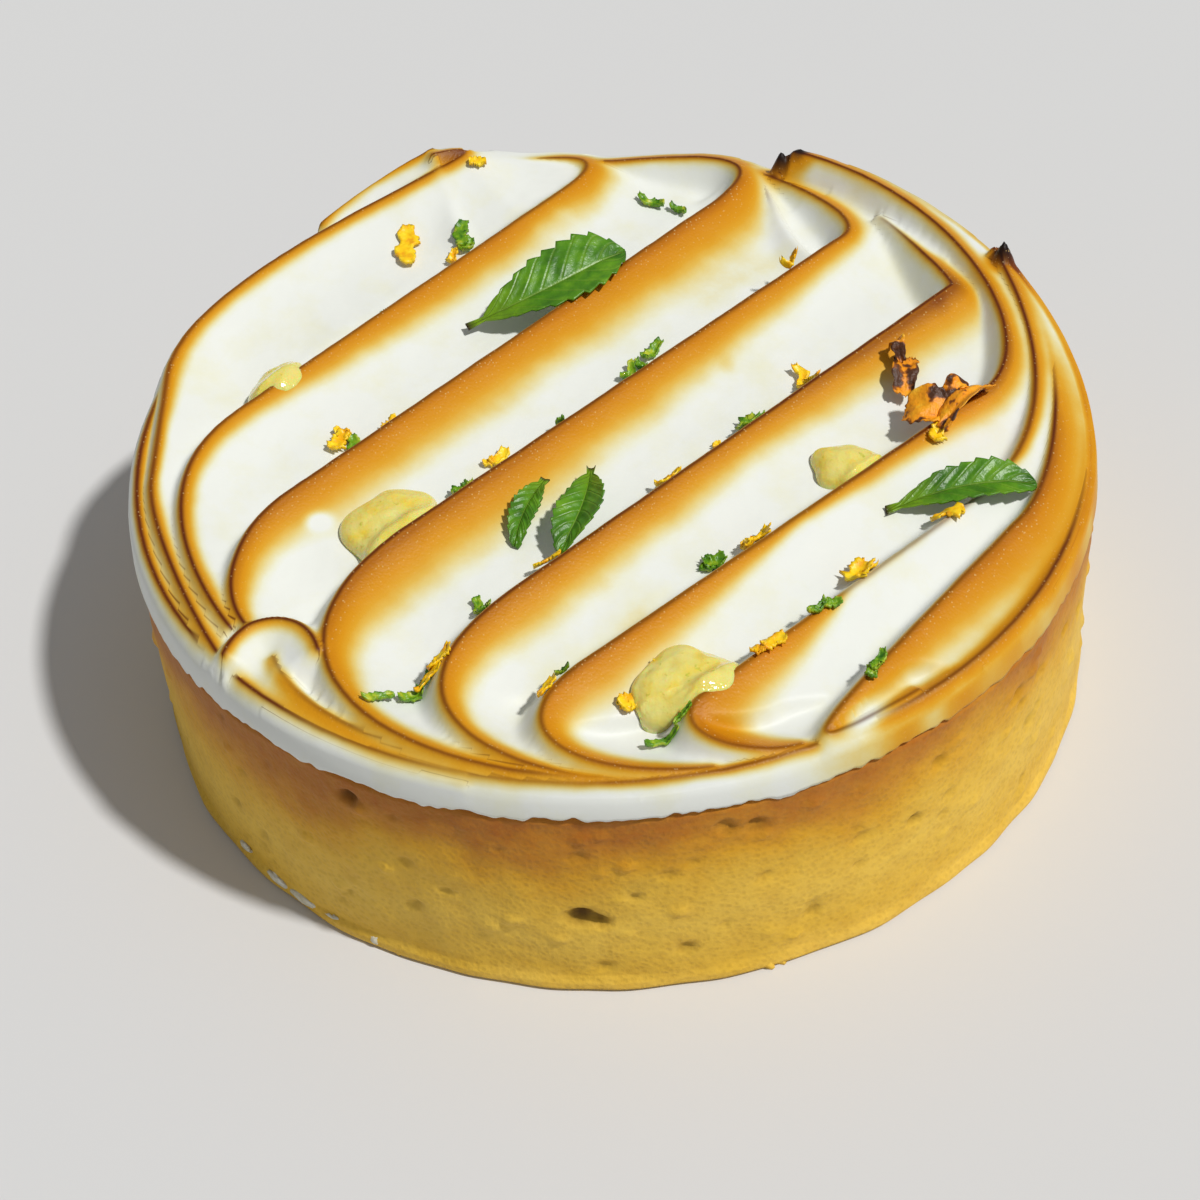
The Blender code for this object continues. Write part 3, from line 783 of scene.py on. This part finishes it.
# start and end (x, y) from stem to tip, greatest width, lift over the meringue at both ends, fold of
# the halves, degrees rolled to one side, arch, where it is widest, how deep its teeth are and how far
# it bends to one side.
LEAVES = (
    dict(name="mint_leaf_1", start=(-11.3, 15.2), end=(3.0, 21.2), width=6.8, lift=(0.3, 1.0), fold=0.3,
         roll=12, bow=0.7, widest=0.66, teeth=0.10, bend=-1.0),
    dict(name="mint_leaf_2", start=(-1.6, -7.0), end=(-4.5, -15.6), width=4.0, lift=(1.6, 0.4), fold=0.5,
         roll=14, bow=0.4, widest=0.55, teeth=0.09, bend=0.5),
    dict(name="mint_leaf_3", start=(21.0, -13.6), end=(33.0, -12.4), width=3.9, lift=(0.4, 0.9), fold=0.35,
         roll=12, bow=0.5, widest=0.68, teeth=0.10, bend=0.6),
    dict(name="mint_leaf_4", start=(-5.3, -7.6), end=(-8.1, -13.6), width=2.4, lift=(0.7, 0.4), fold=0.4,
         roll=-8, bow=0.3, widest=0.5, teeth=0.12, bend=-0.3),
)
LEAF_CELLS = (90, 26)
STEM_SHARE = 0.10
STEM_HALF = 0.26
TEETH = 9
VEIN_ROWS = 8.0
VEIN_SLANT = 1.7
QUILT_RISE = 0.16


def thicken(shape, thickness):
    """Gives every blade in the shape a second face above the first, and sides."""
    bmesh.ops.recalc_face_normals(shape, faces=shape.faces)
    top = bmesh.ops.extrude_face_region(shape, geom=shape.faces[:])["geom"]
    raised = [g for g in top if isinstance(g, bmesh.types.BMVert)]
    bmesh.ops.translate(shape, verts=raised, vec=(0, 0, thickness))
    bmesh.ops.recalc_face_normals(shape, faces=shape.faces)


def leaf_finish():
    made, tree, shader = new_finish("fresh_mint")
    place = place_on_piece(tree)
    along = tree.nodes.new("ShaderNodeAttribute")
    along.attribute_name = "along"
    side = tree.nodes.new("ShaderNodeAttribute")
    side.attribute_name = "across"
    off = maths(tree, "ABSOLUTE", side.outputs["Fac"])
    rows = maths(tree, "MULTIPLY", along.outputs["Fac"], VEIN_ROWS)
    slant = maths(tree, "SUBTRACT", rows, maths(tree, "MULTIPLY", off, VEIN_SLANT))
    beat = maths(tree, "ABSOLUTE", maths(tree, "SUBTRACT", maths(tree, "FRACT", slant), 0.5))
    veins = maths(tree, "SUBTRACT", 1.0, maths(tree, "MULTIPLY", beat, 9.0), clamp=True)
    midrib = maths(tree, "SUBTRACT", 1.0, maths(tree, "MULTIPLY", off, 16.0), clamp=True)
    veins = maths(tree, "MAXIMUM", maths(tree, "MULTIPLY", veins, 0.5), midrib)
    tone = mottle(tree, place, 2.2, detail=4.0)
    body = ramp(tree, (
        (0.32, colour(52, 104, 4)),
        (0.50, colour(80, 138, 8)),
        (0.68, colour(112, 164, 18)),
    ), tone)
    young = maths(tree, "SUBTRACT", 1.0, maths(tree, "MULTIPLY", along.outputs["Fac"], 2.6), clamp=True)
    body = blend_colours(tree, maths(tree, "MULTIPLY", young, 0.75), body, colour(142, 176, 10))
    body = blend_colours(tree, maths(tree, "MULTIPLY", veins, 0.55), body, colour(150, 182, 70))
    cells = mottle(tree, place, 0.35, detail=2.0)
    body = blend_colours(tree, maths(tree, "MULTIPLY", cells, 0.3), body, colour(30, 74, 2))
    cut = maths(tree, "SUBTRACT", 1.0, maths(tree, "MULTIPLY", along.outputs["Fac"], 17.0), clamp=True)
    body = blend_colours(tree, cut, body, colour(52, 28, 10))
    tree.links.new(body, shader.inputs["Base Color"])
    puffed = maths(tree, "MULTIPLY", cells, 0.05 * MM)
    height = maths(tree, "SUBTRACT", puffed, maths(tree, "MULTIPLY", veins, 0.10 * MM))
    tree.links.new(bump(tree, height), shader.inputs["Normal"])
    shader.inputs["Roughness"].default_value = 0.38
    shader.inputs["Specular IOR Level"].default_value = 0.45
    return made


def leaf_width(share, leaf):
    """Half width of the blade at this share of its length: a thin stem, then a pointed oval."""
    if share < STEM_SHARE:
        return 0.28 + 0.10 * (1 - share / STEM_SHARE)
    up = (share - STEM_SHARE) / (1 - STEM_SHARE)
    peak = leaf["widest"]
    rise = up / peak if up < peak else (1 - up) / (1 - peak)
    oval = math.sin(math.pi / 2 * min(max(rise, 0.0), 1.0)) ** (0.8 if up < peak else 0.7)
    return STEM_HALF + (leaf["width"] / 2 - STEM_HALF) * oval


def make_leaf(leaf, finish):
    start = Vector(leaf["start"])
    end = Vector(leaf["end"])
    way = (end - start).normalized()
    side = Vector((-way.y, way.x))
    ends = swept_surface(np.array([start, end]))[0] + np.array(leaf["lift"])
    lean = math.tan(math.radians(leaf["roll"]))
    shape = bmesh.new()
    bmesh.ops.create_grid(shape, x_segments=LEAF_CELLS[0], y_segments=LEAF_CELLS[1], size=1.0)
    along = shape.verts.layers.float.new("along")
    across = shape.verts.layers.float.new("across")
    for point in shape.verts:
        share = (1 + point.co.x) / 2
        off = point.co.y
        blade = max(share - STEM_SHARE, 0.0) / (1 - STEM_SHARE)
        notch = (blade * TEETH - 0.4 * abs(off)) % 1.0
        tooth = leaf["teeth"] * notch * abs(off) ** 4 * min(blade * 6, 1.0)
        reach = off * leaf_width(share, leaf) * (1 - tooth * 1.6)
        share_back = share - tooth * 0.09
        bend = leaf["bend"] * math.sin(math.pi * share)
        spot = start.lerp(end, share_back) + side * (reach + bend)
        vein = (share * VEIN_ROWS - abs(off) * VEIN_SLANT) % 1.0
        quilt = QUILT_RISE * math.sin(math.pi * vein) * min(abs(off) * 4, 1.0)
        quilt *= (1 - off * off) * min(blade * 5, 1.0)
        level = ends[0] + (ends[1] - ends[0]) * share + leaf["bow"] * math.sin(math.pi * share)
        level += leaf["fold"] * abs(reach) + lean * reach + quilt
        salt = len(leaf["name"]) + leaf["width"]
        level += 0.25 * noise.noise(Vector((share * 5, off * 1.5, salt))) * abs(off)
        level -= 0.5 * max(blade - 0.8, 0.0) * 4 * blade
        point[along] = share
        point[across] = off
        point.co = (spot.x, spot.y, level)
    rest = surface_under(shape)
    under = max(level - point.co.z for point, level in zip(shape.verts, rest))
    bmesh.ops.translate(shape, verts=shape.verts, vec=(0, 0, under + 0.03))
    thicken(shape, LEAF_THICKNESS)
    add_piece(leaf["name"] + "_blade", shape, finish, [leaf["name"]])


LEAF_FINISH = leaf_finish()
for leaf in LEAVES:
    make_leaf(leaf, LEAF_FINISH)


# ---- Dried petals -------------------------------------------------------------------------------
# Torn marigold petals, dried until they curl: papery orange with dark brown patches and ragged ends.

PETAL_THICKNESS = 0.12
PETAL_CELLS = (26, 14)
# Each torn part: start and end (x, y), width, lift, arch, degrees rolled to one side, seed.
PETALS = (
    dict(name="dried_petal_1", parts=(
        ((24.3, -0.6), (25.3, 4.2), 2.1, 0.5, 0.7, 14, 3.0),
        ((24.6, 2.6), (24.2, 4.9), 1.1, 0.8, 1.1, -20, 5.0),
    )),
    dict(name="dried_petal_2", parts=(
        ((24.0, -3.2), (27.6, -4.6), 3.4, 0.5, 1.0, 20, 1.0),
        ((26.4, -6.0), (31.0, -1.6), 2.2, 0.5, 1.3, -26, 7.0),
        ((27.2, -2.4), (29.8, -1.0), 1.6, 0.7, 1.2, 10, 9.0),
    )),
)


def petal_finish():
    made, tree, shader = new_finish("dried_petal")
    place = place_on_piece(tree)
    tone = mottle(tree, place, 2.2, detail=3.0, roughness=0.55)
    body = ramp(tree, (
        (0.41, colour(44, 26, 10)),
        (0.45, colour(130, 70, 6)),
        (0.48, colour(246, 154, 2)),
        (0.58, colour(250, 172, 10)),
        (0.72, colour(252, 206, 60)),
    ), tone)
    fibres = mottle(tree, place, 0.4, detail=3.0)
    body = blend_colours(tree, maths(tree, "MULTIPLY", fibres, 0.2), body, colour(190, 96, 4))
    tree.links.new(body, shader.inputs["Base Color"])
    tree.links.new(bump(tree, maths(tree, "MULTIPLY", fibres, 0.14 * MM)), shader.inputs["Normal"])
    shader.inputs["Roughness"].default_value = 0.5
    return made


def make_petal(petal, finish):
    shape = bmesh.new()
    for start, end, width, lift, bow, roll, seed in petal["parts"]:
        start, end = Vector(start), Vector(end)
        way = (end - start).normalized()
        side = Vector((-way.y, way.x))
        lean = math.tan(math.radians(roll))
        made = bmesh.ops.create_grid(
            shape, x_segments=PETAL_CELLS[0], y_segments=PETAL_CELLS[1], size=1.0)["verts"]
        for point in made:
            share, off = (1 + point.co.x) / 2, point.co.y
            ragged = 1 + 0.35 * noise.noise(Vector((share * 7, off * 2, seed)))
            half = width / 2 * (0.45 + 0.55 * math.sin(math.pi * (0.15 + 0.7 * share))) * ragged
            torn = 0.07 * noise.noise(Vector((off * 6, seed, 0))) * (1 if share > 0.5 else -1)
            spot = start.lerp(end, share + torn * abs(2 * share - 1)) + side * half * off
            curl = 0.4 * off * off + 0.5 * noise.noise(Vector((share * 3, off * 1.6, seed + 4)))
            point.co = (spot.x, spot.y, lift + bow * math.sin(math.pi * share) + lean * half * off + curl)
        levels = swept_surface(np.array([point.co[:2] for point in made]))[0]
        floor = levels.mean()
        for point in made:
            point.co.z += floor
        under = max(level - point.co.z for point, level in zip(made, levels))
        bmesh.ops.translate(shape, verts=made, vec=(0, 0, max(under, 0.0) + 0.03))
    thicken(shape, PETAL_THICKNESS)
    add_piece(petal["name"] + "_torn", shape, finish, [petal["name"]])


PETAL_FINISH = petal_finish()
for petal in PETALS:
    make_petal(petal, PETAL_FINISH)


# ---- Grated peel --------------------------------------------------------------------------------
# Lemon and lime peel off a fine grater: ragged, curled strands and flecks scattered over the
# meringue. All the lemon is one piece and all the lime another.

PEEL_THICKNESS = 0.3
PEEL_CELLS = (16, 6)
PEEL_FOLLOW = 0.65        # how closely a strand follows the meringue under it
# (x, y, length, width, degrees turned, curl)
LEMON_PEEL = (
    (-16.4, 26.6, 4.6, 1.7, 92, 0.2), (-22.4, 2.2, 2.2, 1.3, 60, 0.5), (-22.0, 3.2, 1.6, 0.8, 150, 0.3),
    (-18.0, 3.8, 1.8, 1.0, 50, 0.6), (-12.4, 24.8, 1.6, 0.7, 80, 0.5), (-9.0, -2.4, 2.0, 1.0, 60, 0.5),
    (-9.9, -2.8, 1.0, 0.6, 20, 0.3), (16.6, 4.4, 3.2, 0.9, 105, 0.7), (17.2, 2.9, 1.4, 0.6, 150, 0.4),
    (8.8, -3.0, 0.8, 0.6, 90, 0.2), (4.4, -7.6, 2.2, 0.8, 25, 0.4), (17.0, 17.2, 1.8, 0.5, 40, 1.4),
    (10.7, -15.6, 2.6, 1.2, 40, 0.8), (9.8, -16.2, 1.2, 0.7, 100, 0.5), (17.9, -20.2, 2.8, 1.9, 60, 0.6),
    (18.8, -19.4, 1.6, 1.0, 130, 0.4), (10.6, -27.8, 2.0, 1.1, 30, 0.5), (9.4, -28.6, 1.2, 0.8, 0, 0.4),
    (-6.3, -30.4, 2.2, 0.8, 60, 0.5), (-14.0, -26.2, 2.2, 0.8, 40, 0.5), (-15.0, -27.4, 2.4, 0.6, 30, 0.3),
    (0.2, -31.4, 2.6, 1.4, 35, 0.5), (-0.6, -31.8, 1.4, 0.8, 110, 0.4), (25.6, -14.8, 2.6, 1.0, 10, 0.3),
    (-9.6, 35.2, 1.6, 0.8, 0, 0.3), (-5.6, -16.6, 2.2, 0.6, 10, 0.2), (26.2, -6.4, 1.6, 1.0, 60, 0.4),
    (2.6, -28.4, 1.6, 0.9, 20, 0.4),
)
LIME_PEEL = (
    (-11.4, 27.0, 3.0, 1.2, 95, 0.4), (-11.0, 25.8, 1.6, 1.0, 60, 0.5), (-18.5, 18.6, 0.8, 0.5, 40, 0.2),
    (-21.2, 1.8, 2.2, 0.9, 95, 0.4), (-12.2, -6.4, 1.6, 1.1, 30, 0.5), (-11.6, -6.2, 1.0, 0.7, 110, 0.4),
    (-3.8, 0.0, 1.3, 0.7, 100, 0.5), (2.2, 7.4, 2.2, 0.8, 60, 0.8), (4.4, 9.8, 2.6, 0.9, 50, 0.8),
    (3.4, 8.2, 1.4, 0.6, 130, 0.5), (11.4, -1.4, 2.4, 1.3, 50, 0.5), (12.2, -0.6, 1.4, 0.8, 130, 0.4),
    (7.3, -17.2, 1.8, 1.2, 20, 0.6), (6.7, -17.4, 1.2, 0.8, 100, 0.5), (14.2, -24.8, 1.8, 0.5, 30, 0.6),
    (15.4, -24.2, 1.6, 0.6, 15, 0.5), (18.0, -30.4, 2.2, 0.8, 60, 0.5), (17.4, -31.4, 1.2, 0.7, 100, 0.4),
    (-11.0, -19.8, 1.8, 0.7, 95, 0.4), (-10.6, -20.6, 1.2, 0.6, 30, 0.3), (-5.0, -28.9, 1.1, 0.7, 10, 0.5),
    (-18.6, -29.0, 2.4, 0.6, 15, 0.4), (-16.2, -28.2, 2.2, 0.9, 30, 0.6), (-15.2, -27.0, 1.8, 0.7, 60, 0.5),
    (1.8, -34.6, 2.6, 0.5, 20, 0.5), (3.4, -33.8, 1.6, 0.4, 30, 0.4), (6.0, 32.4, 2.6, 0.8, -25, 0.6),
    (8.4, 31.4, 1.8, 0.7, -35, 0.5), (4.6, -29.2, 1.6, 0.7, 70, 0.4), (-18.4, -12.6, 1.0, 0.5, 80, 0.3),
)


def peel_finish(name, dark, mid, pale):
    made, tree, shader = new_finish(name)
    place = place_on_piece(tree)
    tone = mottle(tree, place, 0.9, detail=3.0)
    tree.links.new(ramp(tree, ((0.32, dark), (0.5, mid), (0.68, pale)), tone), shader.inputs["Base Color"])
    pores = crumb(tree, place, 0.6, 0.06)
    tree.links.new(bump(tree, pores.outputs["Height"]), shader.inputs["Normal"])
    shader.inputs["Roughness"].default_value = 0.4
    return made


def make_peel(name, strands, finish, seed):
    """Every strand is a short strip, torn at its edges, curled and laid on the meringue."""
    shape = bmesh.new()
    chance = random.Random(seed)
    for x, y, length, width, degrees, curl in strands:
        base = swept_surface(np.array([(x, y)]))[0][0]
        turn = Matrix.Rotation(math.radians(degrees), 3, "Z")
        salt = chance.uniform(0, 50)
        made = bmesh.ops.create_grid(
            shape, x_segments=PEEL_CELLS[0], y_segments=PEEL_CELLS[1], size=1.0)["verts"]
        for point in made:
            share, off = point.co.x, point.co.y
            ragged = 0.7 + 0.75 * abs(noise.noise(Vector((share * 4.2, off + salt, salt))) * 2.0)
            ragged *= (1 - 0.45 * abs(share) ** 3)
            sway = 0.18 * length * noise.noise(Vector((share * 1.3, salt, 2.0)))
            local = Vector((share * length / 2, off * width / 2 * ragged + sway, 0.0))
            lift = curl * 0.7 * share * share + 0.22 * noise.noise(Vector((share * 3, off * 2, salt + 9)))
            lift += 0.35 * curl * off * off
            flat = turn @ local
            point.co = (x + flat.x, y + flat.y, lift)
        levels = swept_surface(np.array([point.co[:2] for point in made]))[0]
        for point, level in zip(made, levels):
            point.co.z += (1 - PEEL_FOLLOW) * base + PEEL_FOLLOW * level
        under = max(level - point.co.z for point, level in zip(made, levels))
        bmesh.ops.translate(shape, verts=made, vec=(0, 0, under * 0.8 + 0.04))
    thicken(shape, PEEL_THICKNESS)
    add_piece(name, shape, finish)


make_peel("lemon_peel", LEMON_PEEL, peel_finish(
    "lemon_peel", colour(240, 166, 2), colour(252, 204, 4), colour(252, 222, 40)), 3)
make_peel("lime_peel", LIME_PEEL, peel_finish(
    "lime_peel", colour(46, 104, 2), colour(108, 156, 8), colour(190, 196, 50)), 8)


# ---- Smears and crumbs --------------------------------------------------------------------------
# Meringue caught on the foot when the tart was lifted off the board, and crumbs rubbed off the case.

# (degrees round, height, length, thickness)
SMEARS = (
    (222.0, 1.2, 2.6, 0.5), (226.5, 1.1, 3.4, 0.5), (231.0, 1.0, 2.2, 0.45), (234.0, 0.9, 1.4, 0.4),
    (237.0, 0.8, 1.0, 0.5), (216.0, 1.9, 1.6, 0.4),
)
# (degrees round, height, size)
CRUMBS = ((283.0, 0.25, 0.5), (284.5, 0.2, 0.35), (240.0, 0.2, 0.3), (262.0, 0.2, 0.3), (301.0, 0.2, 0.25))
SMEAR_INSET = 0.32
SMEAR_HALF = 0.26
CRUMB_INSET = 0.55
TABLE_GAP = 0.02


def smear_finish():
    made, tree, shader = new_finish("dried_smear")
    place = place_on_piece(tree)
    tone = mottle(tree, place, 0.8)
    shade = ramp(tree, ((0.35, colour(206, 198, 170)), (0.65, colour(232, 230, 216))), tone)
    tree.links.new(shade, shader.inputs["Base Color"])
    tree.links.new(bump(tree, crumb(tree, place, 0.4, 0.08).outputs["Height"]), shader.inputs["Normal"])
    shader.inputs["Roughness"].default_value = 0.5
    return made


def make_smears():
    shape = bmesh.new()
    for number, (degrees, height, length, thick) in enumerate(SMEARS):
        made = bmesh.ops.create_icosphere(shape, subdivisions=3, radius=1.0)["verts"]
        turn = math.radians(degrees)
        for point in made:
            bumpy = 1 + 0.35 * noise.noise(point.co * 2.2 + Vector((number * 3, 0, 0)))
            around = turn + point.co.y * length / 2 * bumpy / CASE_RADIUS
            radius = CASE_RADIUS - SMEAR_INSET + SMEAR_HALF * point.co.x
            rise = height + point.co.z * thick * bumpy
            point.co = (radius * math.cos(around), radius * math.sin(around), max(rise, TABLE_GAP))
    add_piece("meringue_smears", shape, smear_finish())


def make_crumbs():
    shape = bmesh.new()
    for number, (degrees, height, size) in enumerate(CRUMBS):
        made = bmesh.ops.create_icosphere(shape, subdivisions=2, radius=size)["verts"]
        turn = math.radians(degrees)
        out = CASE_RADIUS - CRUMB_INSET
        middle = Vector((out * math.cos(turn), out * math.sin(turn), height))
        for point in made:
            bumpy = 1 + 0.5 * noise.noise(point.co * 3 + Vector((number * 5, 0, 0)))
            point.co = point.co * bumpy + middle
            point.co.z = max(point.co.z, TABLE_GAP)
    add_piece("pastry_crumbs", shape, case.data.materials[0])


make_smears()
make_crumbs()


# ---- Stage --------------------------------------------------------------------------------------
# A plain pale tabletop under a sun lamp from the front right and a faint sky, with the camera looking down
# at the tart from the front.

VIEW_RISE = math.radians(43.0)
VIEW_ROLL = math.radians(-4.82)
VIEW_DISTANCE = 0.21314
VIEW_OFFSET = (-0.002036, 0.002788)
LENS = 72.0
SENSOR_WIDTH = 36.0
LAMP_TURN = math.radians(-30.0)
LAMP_RISE = math.radians(56.0)
LAMP_SPREAD = math.radians(4.0)
LAMP_POWER = 2.85
LAMP_COLOUR = (1.0, 0.99, 0.97)
SKY_COLOUR = (0.96, 0.98, 1.0, 1.0)
SKY_POWER = 0.27
TABLE_HALF = 3.0


def make_floor():
    shape = bmesh.new()
    bmesh.ops.create_grid(shape, x_segments=1, y_segments=1, size=TABLE_HALF)
    mesh = bpy.data.meshes.new("tabletop")
    shape.to_mesh(mesh)
    shape.free()
    made, _, shader = new_finish("pale_table")
    shader.inputs["Base Color"].default_value = colour(214, 214, 214)
    shader.inputs["Roughness"].default_value = 0.8
    shader.inputs["Specular IOR Level"].default_value = 0.1
    mesh.materials.append(made)
    floor = bpy.data.objects.new("tabletop", mesh)
    bpy.context.scene.collection.objects.link(floor)


def make_lights():
    lamp = bpy.data.lights.new("lamp", "SUN")
    lamp.energy = LAMP_POWER
    lamp.angle = LAMP_SPREAD
    lamp.color = LAMP_COLOUR
    holder = bpy.data.objects.new("lamp", lamp)
    way = Vector((
        math.cos(LAMP_RISE) * math.cos(LAMP_TURN),
        math.cos(LAMP_RISE) * math.sin(LAMP_TURN),
        math.sin(LAMP_RISE),
    ))
    holder.rotation_euler = way.to_track_quat("Z", "Y").to_euler()
    bpy.context.scene.collection.objects.link(holder)
    world = bpy.data.worlds.new("room")
    world.use_nodes = True
    sky = world.node_tree.nodes["Background"]
    sky.inputs["Color"].default_value = SKY_COLOUR
    sky.inputs["Strength"].default_value = SKY_POWER
    bpy.context.scene.world = world


def make_camera():
    lens = bpy.data.cameras.new("camera")
    lens.lens = LENS
    lens.sensor_width = SENSOR_WIDTH
    lens.clip_start = 0.01
    holder = bpy.data.objects.new("camera", lens)
    back = Vector((0.0, -math.cos(VIEW_RISE), math.sin(VIEW_RISE)))
    level_right = Vector((1.0, 0.0, 0.0))
    level_up = back.cross(level_right)
    right = math.cos(VIEW_ROLL) * level_right + math.sin(VIEW_ROLL) * level_up
    up = back.cross(right)
    place = back * VIEW_DISTANCE + right * VIEW_OFFSET[0] + up * VIEW_OFFSET[1]
    turn = Matrix((right, up, back)).transposed().to_4x4()
    holder.matrix_world = Matrix.Translation(place) @ turn
    bpy.context.scene.collection.objects.link(holder)
    bpy.context.scene.camera = holder


make_floor()
make_lights()
make_camera()
bpy.context.scene.view_settings.view_transform = "Standard"
